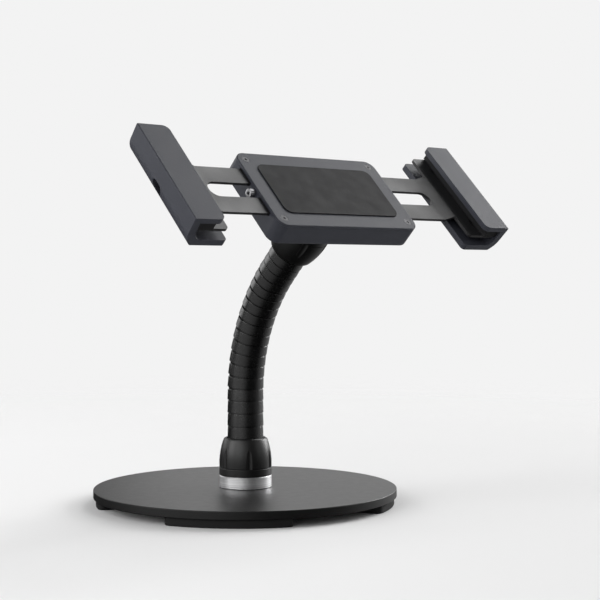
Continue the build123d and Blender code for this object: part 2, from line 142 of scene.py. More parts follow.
def drawChain(name, points, closed=True):
    bpy.ops.object.select_all(action="DESELECT")
    bpy.ops.mesh.primitive_plane_add(size=mm)
    piece = bpy.context.object
    piece.name = name
    bpy.ops.object.mode_set(mode="EDIT")
    bpy.ops.mesh.select_mode(type="VERT")
    bpy.ops.mesh.select_all(action="SELECT")
    bpy.ops.mesh.merge(type="CENTER")
    bpy.ops.transform.translate(value=points[0])
    route = points[1:] + points[:1] if closed else points[1:]
    for before, after in zip(points, route):
        bpy.ops.mesh.extrude_vertices_move(TRANSFORM_OT_translate={"value": after - before})
    bpy.ops.mesh.select_all(action="SELECT")
    bpy.ops.mesh.remove_doubles(threshold=weld)
    return piece


def closeMesh():
    bpy.ops.mesh.select_all(action="SELECT")
    bpy.ops.mesh.remove_doubles(threshold=weld)
    bpy.ops.mesh.normals_make_consistent(inside=False)
    bpy.ops.object.mode_set(mode="OBJECT")


def turnPiece(name, outline, steps):
    solid = abs(outline[0][0]) < 1e-6 and abs(outline[-1][0]) < 1e-6
    piece = drawChain(name, [Vector((radius, 0, height)) * mm for radius, height in outline], not solid)
    bpy.ops.mesh.spin(steps=steps, angle=math.tau, center=(0, 0, 0), axis=(0, 0, 1))
    closeMesh()
    return piece


def raisePiece(name, outline, low, high):
    piece = drawChain(name, [Vector((x, y, low)) * mm for x, y in outline])
    bpy.ops.mesh.edge_face_add()
    bpy.ops.mesh.extrude_region_move(TRANSFORM_OT_translate={"value": (0, 0, (high - low) * mm)})
    closeMesh()
    return piece


def pickEdges(piece, wanted):
    pickOnly(piece)
    bpy.ops.object.mode_set(mode="EDIT")
    bpy.ops.mesh.select_mode(type="EDGE")
    bpy.ops.mesh.select_all(action="DESELECT")
    bpy.ops.object.mode_set(mode="OBJECT")
    places = piece.data.vertices
    for edge in piece.data.edges:
        edge.select = bool(wanted(*(places[end].co / mm for end in edge.vertices)))
    bpy.ops.object.mode_set(mode="EDIT")


def roundEdges(piece, wanted, radius, segments):
    pickEdges(piece, wanted)
    bpy.ops.mesh.bevel(offset=radius * mm, segments=segments, affect="EDGES", clamp_overlap=False)
    bpy.ops.object.mode_set(mode="OBJECT")


def useModifier(piece, kind, **values):
    pickOnly(piece)
    bpy.ops.object.modifier_add(type=kind)
    modifier = piece.modifiers[-1]
    for key, value in values.items():
        setattr(modifier, key, value)
    bpy.ops.object.modifier_apply(modifier=modifier.name)


def cutWith(piece, tools):
    for tool in tools:
        useModifier(piece, "BOOLEAN", operation="DIFFERENCE", object=tool, solver="EXACT")
        bpy.data.objects.remove(tool, do_unlink=True)


def softenEdges(piece, radius, segments, clamp=False):
    useModifier(piece, "BEVEL", width=radius * mm, segments=segments, limit_method="ANGLE",
                angle_limit=math.radians(bevelAngle), use_clamp_overlap=clamp, offset_type="OFFSET",
                loop_slide=False)


def smoothFaces(piece, angle=30):
    pickOnly(piece)
    bpy.ops.object.shade_smooth_by_angle(angle=math.radians(angle))


def evenShading(piece):
    useModifier(piece, "WEIGHTED_NORMAL", keep_sharp=True, weight=80)


def movePiece(piece, place):
    pickOnly(piece)
    piece.matrix_world = place @ piece.matrix_world
    bpy.ops.object.transform_apply(location=True, rotation=True, scale=True)
    return piece


def copyPiece(piece, name, place):
    pickOnly(piece)
    bpy.ops.object.duplicate()
    twin = bpy.context.object
    twin.name = name
    return movePiece(twin, place)


def joinPieces(name, pieces):
    pickOnly(pieces[0])
    for piece in pieces:
        piece.select_set(True)
    if len(pieces) > 1:
        bpy.ops.object.join()
    joined = bpy.context.object
    joined.name = name
    return joined


def refineNode(name, node, radius, segments, clamp):
    pickOnly(nodes[node])
    bpy.ops.object.duplicate()
    piece = bpy.context.object
    piece.name = name
    piece.parent = None
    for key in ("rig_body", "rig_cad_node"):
        del piece[key]
    bpy.ops.object.mode_set(mode="EDIT")
    bpy.ops.mesh.select_mode(type="VERT")
    bpy.ops.mesh.select_all(action="SELECT")
    bpy.ops.mesh.remove_doubles(threshold=weld)
    bpy.ops.mesh.dissolve_limited(angle_limit=math.radians(flatAngle))
    bpy.ops.object.mode_set(mode="OBJECT")
    softenEdges(piece, radius, segments, clamp)
    smoothFaces(piece)
    evenShading(piece)
    return piece


def givePiece(piece, finish, body, slot, *replaced):
    piece.data.materials.clear()
    piece.data.materials.append(finishes[finish])
    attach(piece, body)
    if replaced:
        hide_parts(*replaced)
    bpy.ops.object.select_all(action="DESELECT")


# Finishes: colour mottle, roughness and fine grain in object space, with depths in millimetres
def newFinish(name, colour, roughness, metallic=0.0, specular=0.5):
    material = bpy.data.materials.new(name)
    material.use_nodes = True
    shader = material.node_tree.nodes["Principled BSDF"]
    shader.inputs["Base Color"].default_value = (*colour, 1)
    shader.inputs["Roughness"].default_value = roughness
    shader.inputs["Metallic"].default_value = metallic
    shader.inputs["Specular IOR Level"].default_value = specular
    return material, material.node_tree, shader


def addNode(tree, kind, values, vector=None):
    node = tree.nodes.new(kind)
    for socket, value in values.items():
        node.inputs[socket].default_value = value
    if vector:
        tree.links.new(vector, node.inputs["Vector"])
    return node


def addMath(tree, kind, operation, value, settings):
    node = addNode(tree, kind, settings)
    node.operation = operation
    tree.links.new(value, node.inputs[0])
    return node.outputs["Value"]


def addRamp(tree, value, low, high, darkColour, lightColour):
    ramp = tree.nodes.new("ShaderNodeValToRGB")
    for element, position, colour in zip(ramp.color_ramp.elements, (low, high), (darkColour, lightColour)):
        element.position = position
        element.color = (*colour, 1)
    tree.links.new(value, ramp.inputs["Fac"])
    return ramp.outputs["Color"]


def addSpread(tree, value, low, high, toLow, toHigh, easing="LINEAR"):
    limits = {"From Min": low, "From Max": high, "To Min": toLow, "To Max": toHigh}
    spread = addNode(tree, "ShaderNodeMapRange", limits)
    spread.interpolation_type = easing
    tree.links.new(value, spread.inputs["Value"])
    return spread.outputs["Result"]


def addBump(tree, height, distance, under=None):
    bump = addNode(tree, "ShaderNodeBump", {"Strength": 1.0, "Distance": distance})
    tree.links.new(height, bump.inputs["Height"])
    if under:
        tree.links.new(under, bump.inputs["Normal"])
    return bump.outputs["Normal"]


def addBlend(tree, amount, first, second):
    blend = tree.nodes.new("ShaderNodeMixShader")
    for value, socket in zip((amount, first, second), blend.inputs):
        tree.links.new(value, socket)
    return blend.outputs["Shader"]


usualFinish = {"metallic": 0.0, "specular": 0.5, "mottle": 150, "mottleSpan": (0.3, 0.7), "peel": 900,
               "peelDepth": 0.02, "grain": 3200, "grainDepth": 0.01}
grainyFinishes = {
    "plateCoat": {"dark": (0.005, 0.005, 0.005), "light": (0.0062, 0.0062, 0.0062), "rough": (0.40, 0.43),
                  "specular": 0.35, "mottle": 160, "peel": 1200, "peelDepth": 0.012, "grain": 3600,
                  "grainDepth": 0.006},
    "footRubber": {"dark": (0.006, 0.006, 0.006), "light": (0.010, 0.010, 0.010), "rough": (0.72, 0.85),
                   "specular": 0.3, "mottle": 120, "peel": 700, "peelDepth": 0.06, "grain": 2600,
                   "grainDepth": 0.03},
    "neckPlastic": {"dark": (0.0028, 0.0028, 0.0028), "light": (0.004, 0.004, 0.004), "rough": (0.25, 0.28),
                    "specular": 0.75, "mottle": 140, "peel": 1100, "peelDepth": 0.003, "grain": 2600,
                    "grainDepth": 0.003},
    "collarPlastic": {"dark": (0.003, 0.003, 0.003), "light": (0.0045, 0.0045, 0.0045), "rough": (0.36, 0.39),
                      "specular": 0.49, "mottle": 140, "peel": 1100, "peelDepth": 0.004, "grain": 2600,
                      "grainDepth": 0.003},
    "shellPlastic": {"dark": (0.041, 0.0432, 0.0545), "light": (0.045, 0.0475, 0.0600), "rough": (0.46, 0.50),
                     "specular": 0.27, "mottle": 60, "peel": 1100, "peelDepth": 0.03, "grainDepth": 0.02},
    "padRubber": {"dark": (0.010, 0.010, 0.011), "light": (0.015, 0.015, 0.016), "rough": (0.66, 0.78),
                  "specular": 0.3, "mottle": 110, "peel": 1400, "peelDepth": 0.015, "grainDepth": 0.015},
    "armCoat": {"dark": (0.016, 0.016, 0.017), "light": (0.022, 0.022, 0.023), "rough": (0.36, 0.44),
                "specular": 0.4, "mottle": 70, "peelDepth": 0.03, "grain": 3000, "grainDepth": 0.012},
    "blackAnodised": {"dark": (0.010, 0.010, 0.011), "light": (0.014, 0.014, 0.015), "rough": (0.3, 0.38),
                      "specular": 0.4, "mottle": 90, "peelDepth": 0.01, "grain": 3000},
    "washerPlastic": {"dark": (0.30, 0.29, 0.27), "light": (0.36, 0.35, 0.33), "rough": (0.4, 0.5),
                      "specular": 0.4, "mottle": 90, "peel": 700, "grain": 2400},
    "zincSteel": {"dark": (0.34, 0.34, 0.35), "light": (0.46, 0.46, 0.47), "rough": (0.28, 0.40),
                  "metallic": 1.0, "mottle": 200},
    "darkScrew": {"dark": (0.035, 0.035, 0.037), "light": (0.055, 0.055, 0.058), "rough": (0.32, 0.42),
                  "metallic": 0.9, "mottle": 260, "peel": 1200},
    "turnedSteel": {"dark": (0.30, 0.30, 0.31), "light": (0.40, 0.40, 0.41), "rough": (0.3, 0.42),
                    "metallic": 1.0},
    "wireSteel": {"dark": (0.30, 0.30, 0.31), "light": (0.42, 0.42, 0.43), "rough": (0.3, 0.42),
                  "metallic": 1.0, "mottle": 220, "peel": 1200},
    "nutBrass": {"dark": (0.45, 0.31, 0.12), "light": (0.60, 0.42, 0.20), "rough": (0.28, 0.4),
                 "metallic": 1.0},
}


def grainyFinish(name, values):
    material, tree, shader = newFinish(name, values["light"], values["rough"][0], values["metallic"],
                                       values["specular"])
    place = tree.nodes.new("ShaderNodeTexCoord").outputs["Object"]
    noise = {}
    for layer, detail in (("mottle", 4.0), ("peel", 1.5), ("grain", 2.0)):
        settings = {"Scale": values[layer], "Detail": detail}
        noise[layer] = addNode(tree, "ShaderNodeTexNoise", settings, place).outputs["Fac"]
    colour = addRamp(tree, noise["mottle"], *values["mottleSpan"], values["dark"], values["light"])
    rough = addSpread(tree, noise["mottle"], *values["mottleSpan"], *values["rough"])
    soft = addBump(tree, noise["peel"], values["peelDepth"] * mm)
    fine = addBump(tree, noise["grain"], values["grainDepth"] * mm, soft)
    tree.links.new(colour, shader.inputs["Base Color"])
    tree.links.new(rough, shader.inputs["Roughness"])
    tree.links.new(fine, shader.inputs["Normal"])
    return material


ringTurning = {"colour": (0.78, 0.78, 0.79), "dark": (0.66, 0.66, 0.67), "light": (0.96, 0.96, 0.97),
               "toneSpan": (0.35, 0.65), "rough": (0.36, 0.44), "roughSpan": (0.3, 0.7),
               "lineScale": (3, 3, 900), "depth": 0.14}


def turnedAluminium(name, place):
    values = ringTurning
    material, tree, shader = newFinish(name, values["colour"], values["rough"][0], 1.0)
    coordinate = tree.nodes.new("ShaderNodeTexCoord").outputs["Object"]
    centring = {"Location": place.translation, "Rotation": place.to_euler()}
    centred = addNode(tree, "ShaderNodeMapping", centring, coordinate)
    centred.vector_type = "TEXTURE"
    lines = addNode(tree, "ShaderNodeMapping", {"Scale": values["lineScale"]}, centred.outputs["Vector"])
    cuts = addNode(tree, "ShaderNodeTexNoise", {"Scale": 1.0, "Detail": 3.0}, lines.outputs["Vector"])
    tone = addRamp(tree, cuts.outputs["Fac"], *values["toneSpan"], values["dark"], values["light"])
    rough = addSpread(tree, cuts.outputs["Fac"], *values["roughSpan"], *values["rough"])
    tree.links.new(tone, shader.inputs["Base Color"])
    tree.links.new(rough, shader.inputs["Roughness"])
    tree.links.new(addBump(tree, cuts.outputs["Fac"], values["depth"] * mm), shader.inputs["Normal"])
    return material


finishes = {name: grainyFinish(name, {**usualFinish, **values}) for name, values in grainyFinishes.items()}
for name, place in (("baseRingTurned", baseStack), ("headRingTurned", headStack)):
    finishes[name] = turnedAluminium(name, place)

# Nodes that stay as the CAD model has them: post, washers, screw ring and the neck's end fittings
keptNodes = {"base_post": "turnedSteel", "base_washer": "washerPlastic", "head_washer": "washerPlastic",
             "neck_foot": "blackAnodised", "neck_head": "blackAnodised", "screw_ring": "zincSteel"}
for name, node in nodes.items():
    node.data.materials.clear()
    node.data.materials.append(finishes[keptNodes.get(name, "blackAnodised")])
print("finishes made:", len(finishes))


# Base plate and its feet
basePlate = {"radius": 112.65, "thickness": 6.0, "edgeRound": 0.6, "boltHole": 4.3}
plateOutline = roundedOutline([
    (basePlate["boltHole"], -basePlate["thickness"], 0),
    (basePlate["radius"], -basePlate["thickness"], basePlate["edgeRound"]),
    (basePlate["radius"], 0, basePlate["edgeRound"]),
    (basePlate["boltHole"], 0, 0)], 5)
plate = turnPiece("basePlate", plateOutline, 256)
smoothFaces(plate)
evenShading(plate)
givePiece(movePiece(plate, baseStack), "plateCoat", "base", "plate", "base_plate")

rubberFoot = {"outer": 110.75, "inner": 88.75, "sweep": 48.5, "corner": 5.0, "height": 6.0, "edgeRound": 0.8,
              "screwSweep": 26.0, "screwReach": 99.75, "sinkRadius": 4.0, "sinkDepth": 1.5, "sinkFlare": 0.4,
              "turns": {"front_left": 225, "front_right": 315, "back_right": 45, "back_left": 135}}


def footOutline(foot):
    turn, corner = math.radians(foot["sweep"] / 2), foot["corner"]
    end = Vector((math.cos(turn), math.sin(turn)))
    away = Vector((end.y, -end.x)) * corner
    outerCentre = end * math.sqrt((foot["outer"] - corner) ** 2 - corner ** 2) + away
    innerCentre = end * math.sqrt((foot["inner"] + corner) ** 2 - corner ** 2) + away
    outerTurn = turn - math.asin(corner / (foot["outer"] - corner))
    innerTurn = turn - math.asin(corner / (foot["inner"] + corner))
    outerArc = arcPoints((0, 0), foot["outer"], 0, math.degrees(outerTurn), 12)
    innerArc = arcPoints((0, 0), foot["inner"], math.degrees(innerTurn), 0, 9)
    outerRound = sweepPoints(outerCentre, Vector(outerArc[-1]) - outerCentre, -away, 5)
    innerRound = sweepPoints(innerCentre, -away, Vector(innerArc[0]) - innerCentre, 5)
    half = outerArc + outerRound[1:] + innerRound[:-1] + innerArc
    return half + [(x, -y) for x, y in reversed(half[1:-1])]


def footPlace(turn, reach, height):
    return Matrix.Rotation(math.radians(turn), 4, "Z") @ Matrix.Translation((reach * mm, 0, height * mm))


firstFoot = raisePiece("firstFoot", footOutline(rubberFoot), 0, rubberFoot["height"])
roundEdges(firstFoot, lambda a, b: max(a.z, b.z) < 0.01, rubberFoot["edgeRound"], 4)
sinkRadius, sinkDepth, sinkFlare = rubberFoot["sinkRadius"], rubberFoot["sinkDepth"], rubberFoot["sinkFlare"]
sinkOutline = [(0, -1), (sinkRadius + sinkFlare, -1), (sinkRadius + sinkFlare, 0), (sinkRadius, sinkFlare),
               (sinkRadius, sinkDepth), (0, sinkDepth)]
screwTurns = (-rubberFoot["screwSweep"] / 2, rubberFoot["screwSweep"] / 2)
cutWith(firstFoot, [movePiece(turnPiece("footSink", sinkOutline, 32),
                              footPlace(turn, rubberFoot["screwReach"], 0)) for turn in screwTurns])
smoothFaces(firstFoot)
evenShading(firstFoot)
for corner, turn in rubberFoot["turns"].items():
    foot = copyPiece(firstFoot, "rubberFoot_" + corner, footPlace(turn, 0, 0))
    givePiece(foot, "footRubber", "base", "foot_rubber", "foot_" + corner)
bpy.data.objects.remove(firstFoot, do_unlink=True)
print("base plate and feet made")

# Screws with countersunk heads and a cross recess, one of each kind, in units of the thread's size
screwShape = {"head": [(0, 0), (0.94, 0), (0.985, -0.05), (0.985, -0.08), (0.52, -0.52)],
              "threadStart": -0.62, "threadStep": 0.18, "crest": 0.5, "root": 0.43,
              "tipStart": 0.1, "tip": [0.48, 0.38], "recess": 0.5, "recessArm": 0.13, "recessDepth": 0.42,
              "recessTaper": 0.55}


def crossRecess(size):
    half, arm, depth = (screwShape[key] * size for key in ("recess", "recessArm", "recessDepth"))
    quarter = [(arm, half), (arm, arm), (half, arm)]
    outline = []
    for _ in range(4):
        outline += quarter
        quarter = [(y, -x) for x, y in quarter]
    tool = raisePiece("recessTool", outline, -depth, 1.0)
    pickEdges(tool, lambda a, b: max(a.z, b.z) < -depth + 0.01)
    bpy.ops.transform.resize(value=(screwShape["recessTaper"], screwShape["recessTaper"], 1))
    bpy.ops.object.mode_set(mode="OBJECT")
    return tool


def countersunkScrew(name, size, length):
    outline = [(radius * size, height * size) for radius, height in screwShape["head"]]
    crest, root, step = (screwShape[key] * size for key in ("crest", "root", "threadStep"))
    height, tipStart = screwShape["threadStart"] * size, screwShape["tipStart"] * size - length
    while height - step > tipStart:
        outline += [(crest, height), (root, height - step / 2)]
        height -= step
    tip, point = screwShape["tip"]
    outline += [(tip * size, tipStart), (point * size, -length), (0, -length)]
    screw = turnPiece(name, outline, 32)
    cutWith(screw, [crossRecess(size)])
    smoothFaces(screw)
    return screw


def seatPlace(x, y, height):
    return seat @ Matrix.Translation((x * mm, y * mm, height * mm))


def placeScrews(name, kind, places, finish, body, node):
    copies = [copyPiece(screws[kind], name + "Copy", place) for place in places]
    givePiece(joinPieces(name, copies), finish, body, "screw_steel", node)


screwSizes = {"foot": (4.0, 9.0), "cover": (3.0, 8.0), "jaw": (3.0, 9.0), "flange": (4.0, 5.5),
              "nut": (2.0, 4.0)}
holderScrews = {"cover": (57.0, 29.0, -0.8), "flange": (16.263, 16.263, -16.0)}
sideScrews = {"jaw": (123.5, 28.0, 0.0), "nut": (30.0, 9.2, -3.4)}
screws = {kind: countersunkScrew(kind + "Screw", *size) for kind, size in screwSizes.items()}
upsideDown = Matrix.Rotation(math.pi, 4, "X")
footPlaces = [footPlace(footTurn + screwTurn, rubberFoot["screwReach"], sinkDepth) @ upsideDown
              for footTurn in rubberFoot["turns"].values() for screwTurn in screwTurns]
placeScrews("footScrews", "foot", footPlaces, "zincSteel", "base", "foot_screws")
for kind, (across, along, height) in holderScrews.items():
    places = [seatPlace(x * across, y * along, height) for x in (-1, 1) for y in (-1, 1)]
    placeScrews(kind + "Screws", kind, places, "darkScrew", "holder", kind + "_screws")
for hand, side in (("left", -1), ("right", 1)):
    for kind, (across, along, height) in sideScrews.items():
        places = [seatPlace(side * across, y * along, height) for y in (-1, 1)]
        placeScrews(f"{kind}Screws_{hand}", kind, places, "darkScrew", "slider_" + hand,
                    f"{kind}_screws_{hand}")
for screw in screws.values():
    bpy.data.objects.remove(screw, do_unlink=True)

# Centre bolt: a hexagonal head with a raised face, and a threaded shank
centreBolt = {"flats": 13.0, "headHeight": 4.4, "edgeRound": 0.35, "shankRadius": 3.9, "shankTop": 0.2,
              "threadStart": 0.6, "threadStep": 0.62, "threadDepth": 0.35, "threadCorners": 20,
              "tip": [(3.4, 13.6), (3.0, 14.0), (0, 14.0)],
              "face": [(0, -1), (5.6, -1), (5.9, 0.15), (0, 0.15)], "seatHeight": 6.0}
shankRadius = centreBolt["shankRadius"]
shankOutline = [(0, -1), (shankRadius, -1), (shankRadius, centreBolt["shankTop"])]
shankOutline += [(shankRadius - centreBolt["threadDepth"] * (corner % 2),
                  centreBolt["threadStart"] + corner * centreBolt["threadStep"])
                 for corner in range(centreBolt["threadCorners"])]
hexagon = arcPoints((0, 0), centreBolt["flats"] / math.sqrt(3), 0, 300, 5)
bolt = raisePiece("centreBolt", hexagon, -centreBolt["headHeight"], 0)
softenEdges(bolt, centreBolt["edgeRound"], 2)
shank = turnPiece("boltShank", shankOutline + centreBolt["tip"], 32)
face = turnPiece("boltFace", centreBolt["face"], 48)
face = movePiece(face, Matrix.Translation((0, 0, -centreBolt["headHeight"] * mm)))
bolt = joinPieces("centreBolt", [bolt, shank, face])
smoothFaces(bolt)
boltPlace = Matrix.Translation((0, 0, centreBolt["seatHeight"] * mm))
givePiece(movePiece(bolt, boltPlace), "zincSteel", "base", "screw_steel", "centre_bolt")
print("screws made")

# Ring, band and lock collar at each end of the neck
lockStack = {"bore": 16.45, "radius": 19.5, "boreEdge": 0.2, "ringHeight": 9.1, "ringEdge": 0.5,
             "bandHeight": 5.6, "bandEdge": 0.45, "collarLow": 14.8, "collarHigh": 36.9,
             "collarStraight": 3.0, "collarEdge": 0.45, "mouth": 14.45, "mouthWall": 2.0, "mouthRound": 1.4,
             "mouthEdge": 0.3, "shoulder": 25.1, "fluteCount": 6, "fluteRadius": 3.0, "fluteDepth": 1.2,
             "fluteLow": 10.0, "fluteLength": 40.0}


def sleeve(name, low, high, edge, count):
    bore, radius, boreEdge = lockStack["bore"], lockStack["radius"], lockStack["boreEdge"]
    corners = [(bore, low, boreEdge), (radius, low, edge), (radius, high, edge), (bore, high, boreEdge)]
    return turnPiece(name, roundedOutline(corners, count), 160)


def collarOutline():
    bore, radius, mouth = lockStack["bore"], lockStack["radius"], lockStack["mouth"]
    low, high, shoulder = lockStack["collarLow"], lockStack["collarHigh"], lockStack["shoulder"]
    lipRadius, lipRound = mouth + lockStack["mouthWall"], lockStack["mouthRound"]
    mouthEdge, lowEdge = lockStack["mouthEdge"], lockStack["collarEdge"]
    domeStart, domeEnd = (radius, low + lockStack["collarStraight"]), (lipRadius, high - lipRound)
    dome = tangentArc(domeStart, (0, 1), domeEnd, 14)
    leaving = Vector(dome[-1]) - Vector(dome[-2])
    lip = tangentArc(domeEnd, leaving, (lipRadius - lipRound, high), 9)
    inside = arcPoints((mouth + mouthEdge, high - mouthEdge), mouthEdge, 90, 180, 3)
    inside += [(mouth, shoulder), (bore, shoulder), (bore, low)]
    return dome + lip[1:] + inside + arcPoints((radius - lowEdge, low + lowEdge), lowEdge, -90, 0, 4)


def lockCollar(name):
    collar = turnPiece(name, collarOutline(), 192)
    radius, length = lockStack["fluteRadius"], lockStack["fluteLength"]
    reach = (lockStack["radius"] + radius - lockStack["fluteDepth"]) * mm
    flutes = []
    for number in range(lockStack["fluteCount"]):
        place = Matrix.Rotation(math.tau * number / lockStack["fluteCount"], 4, "Z") \
            @ Matrix.Translation((reach, 0, lockStack["fluteLow"] * mm))
        flute = turnPiece("flute", [(0, 0), (radius, 0), (radius, length), (0, length)], 64)
        flutes.append(movePiece(flute, place))
    cutWith(collar, flutes)
    smoothFaces(collar, 15)
    evenShading(collar)
    return collar


bandTop = lockStack["ringHeight"] + lockStack["bandHeight"]
sharedRing = sleeve("sharedRing", 0, lockStack["ringHeight"], lockStack["ringEdge"], 1)
smoothFaces(sharedRing, 25)
sharedBand = sleeve("sharedBand", lockStack["ringHeight"], bandTop, lockStack["bandEdge"], 4)
smoothFaces(sharedBand)
evenShading(sharedBand)
sharedCollar = lockCollar("sharedCollar")
for end, place, body in (("base", baseStack, "base"), ("head", headStack, "holder")):
    for shared, part, finish, carrier, slot in (
            (sharedRing, "ring", end + "RingTurned", body, "ring_aluminium"),
            (sharedBand, "band", "collarPlastic", body, "collar_plastic"),
            (sharedCollar, "collar", "collarPlastic", end + "_collar", "collar_plastic")):
        copied = copyPiece(shared, end + part.capitalize(), place)
        givePiece(copied, finish, carrier, slot, end + "_" + part)
for piece in (sharedRing, sharedBand, sharedCollar):
    bpy.data.objects.remove(piece, do_unlink=True)
print("rings, bands and collars made")

# Neck links: each one's ball turns in the skirt of the next
neckLink = {"radius": 13.45, "bore": 9.5, "socketRadius": 12.8, "ballRadius": 12.7, "rimDrop": 1.0,
            "rimRound": 0.15, "taper": 0.3, "shoulderRound": 0.3, "ballRise": 1.0, "bendShare": 35 / 13,
            "swayShare": 3.0, "tiltLimit": 7.36, "clearance": 0.1}
directions = [(after - before).normalized() for before, after in zip(pivots, pivots[1:])]
leans = [up] + directions + [headOut]
pitches = [(after - before).length / mm for before, after in zip(pivots, pivots[1:])]


def jointDrop(joint):
    share = neckLink["swayShare"] if joint % 3 == 2 else neckLink["bendShare"]
    tilt = leans[joint].angle(leans[joint + 1]) + math.radians(share)
    return neckLink["rimDrop"] + neckLink["radius"] * math.sin(tilt) + neckLink["clearance"]


def spherePoints(centre, radius, low, high, count):
    heights = [low + (high - low) * step / count for step in range(count + 1)]
    return [(math.sqrt(radius ** 2 - height ** 2), centre + height) for height in heights]


def linkOutline(number):
    radius, bore, rimDrop, ballRise = (neckLink[key] for key in ("radius", "bore", "rimDrop", "ballRise"))
    rimRound, shoulderRound = neckLink["rimRound"], neckLink["shoulderRound"]
    pitch, drop = pitches[number], jointDrop(number + 1)
    tilt = math.radians(neckLink["tiltLimit"])
    roof = ballRise + neckLink["ballRadius"] * math.sin(tilt) + neckLink["clearance"]
    rim = arcPoints((radius - rimRound, rimRound - rimDrop), rimRound, -90, 0, 3)
    shoulderCentre = (radius - neckLink["taper"] - shoulderRound, pitch - drop - shoulderRound)
    shoulder = arcPoints(shoulderCentre, shoulderRound, 0, 90, 3)
    ball = spherePoints(pitch, neckLink["ballRadius"], -drop, ballRise, 5)
    socket = spherePoints(0, neckLink["socketRadius"], roof, -rimDrop, 5)
    return rim + shoulder + ball + [(bore, pitch + ballRise), (bore, roof)] + socket


for number, name in enumerate(linkNames):
    link = turnPiece("neckLink_" + name[-2:], linkOutline(number), 128)
    smoothFaces(link, 28)
    evenShading(link)
    movePiece(link, placeAt(pivots[number], directions[number]))
    givePiece(link, "neckPlastic", name, "neck_plastic", name)
print("neck links made")

# Tension wire: a length of it rides with each piece that it runs through
wire = {"radius": 2.5, "strands": 6, "coreShare": 0.66, "strandShare": 0.34, "strandTurn": 75,
        "twistPerMillimetre": 9.0, "stepLength": 2.5, "endLow": 17.5, "endHigh": 36.4, "linkGap": 0.2,
        "swageRadius": 4.9, "swageLow": 12.0, "swageHigh": 17.0, "swageRound": 0.5}


def strandOutline():
    outline = []
    for strand in range(wire["strands"]):
        middle = math.tau * strand / wire["strands"]
        reach, turn = wire["radius"] * wire["coreShare"], math.degrees(middle)
        centre = (reach * math.cos(middle), reach * math.sin(middle))
        outline += arcPoints(centre, wire["radius"] * wire["strandShare"], turn - wire["strandTurn"],
                             turn + wire["strandTurn"], 4)
    return outline


def wireLength(name, place, low, high):
    piece = drawChain(name, [Vector((x, y, low)) * mm for x, y in strandOutline()])
    bpy.ops.mesh.edge_face_add()
    count = max(2, round((high - low) / wire["stepLength"]))
    step = (high - low) / count
    twist = math.radians(-step * wire["twistPerMillimetre"])
    for _ in range(count):
        bpy.ops.mesh.extrude_region_move(TRANSFORM_OT_translate={"value": (0, 0, step * mm)})
        bpy.ops.transform.rotate(value=twist, orient_axis="Z", center_override=(0, 0, 0))
    closeMesh()
    smoothFaces(piece, 50)
    return movePiece(piece, place)


def swagedEnd(name, place):
    strand = wireLength(name, place, wire["endLow"], wire["endHigh"])
    radius, low, high, edge = (wire["swage" + key] for key in ("Radius", "Low", "High", "Round"))
    corners = [(0, low, 0), (radius, low, edge), (radius, high, edge), (0, high, 0)]
    swage = turnPiece("wireSwage", roundedOutline(corners, 3), 48)
    return joinPieces(name, [movePiece(swage, place), strand])


givePiece(swagedEnd("tensionWire_foot", baseStack), "wireSteel", "neck_foot", "wire_steel", "tension_wire")
for number, name in enumerate(linkNames):
    strand = wireLength("tensionWire_" + name[-2:], placeAt(pivots[number], directions[number]),
                        wire["linkGap"], pitches[number] - wire["linkGap"])
    givePiece(strand, "wireSteel", name, "wire_steel")
givePiece(swagedEnd("tensionWire_head", headStack), "wireSteel", "neck_head", "wire_steel")
print("tension wire made")

# Holder: the CAD's housing, cover, pad, post, arms, nuts, jaws and liners, with their edges rounded
refined = {
    "rear_housing": ("rearHousing", 0.3, "shellPlastic", "holder", "shell_plastic"),
    "front_cover": ("frontCover", 0.25, "shellPlastic", "holder", "shell_plastic"),
    "cover_pad": ("coverPad", 0.2, "padRubber", "holder", "pad_rubber"),
    "head_post": ("headPost", 0.3, "turnedSteel", "holder", "post_steel"),
}
for hand in ("left", "right"):
    refined["arm_" + hand] = ("arm_plate_" + hand, 0.08, "armCoat", "slider_" + hand, "arm_steel")
    refined["nut_" + hand] = ("brassNut_" + hand, 0.2, "nutBrass", "slider_" + hand, "nut_brass")
    refined["jaw_" + hand] = ("jawShell_" + hand, 0.3, "shellPlastic", "slider_" + hand, "shell_plastic")
    refined["jaw_liner_" + hand] = ("linerShell_" + hand, 0.15, "padRubber", "slider_" + hand, "pad_rubber")
for node, (name, radius, finish, body, slot) in refined.items():
    piece = refineNode(name, node, radius, 3, clamp=node == "rear_housing")
    givePiece(piece, finish, body, slot, node)
print("holder made")

# Width screw: a knurled socket head outside the housing and a thread inside it
widthScrew = {"drop": 5.9, "start": -68.3, "headLength": 4.0, "headRadius": 3.2, "headEdges": (0.3, 0.25),
              "flats": 2.5, "socketDepth": 2.5, "knurls": 24, "knurlReach": 3.28, "knurlRadius": 0.18,
              "knurlLow": 0.7, "knurlLength": 2.6, "crest": 1.98, "root": 1.72, "tip": 1.5, "overlap": 0.5,
              "neckGap": 0.2, "threadFrom": 3.6, "threadStep": 0.7, "threadEnd": 0.6, "length": 128.3}


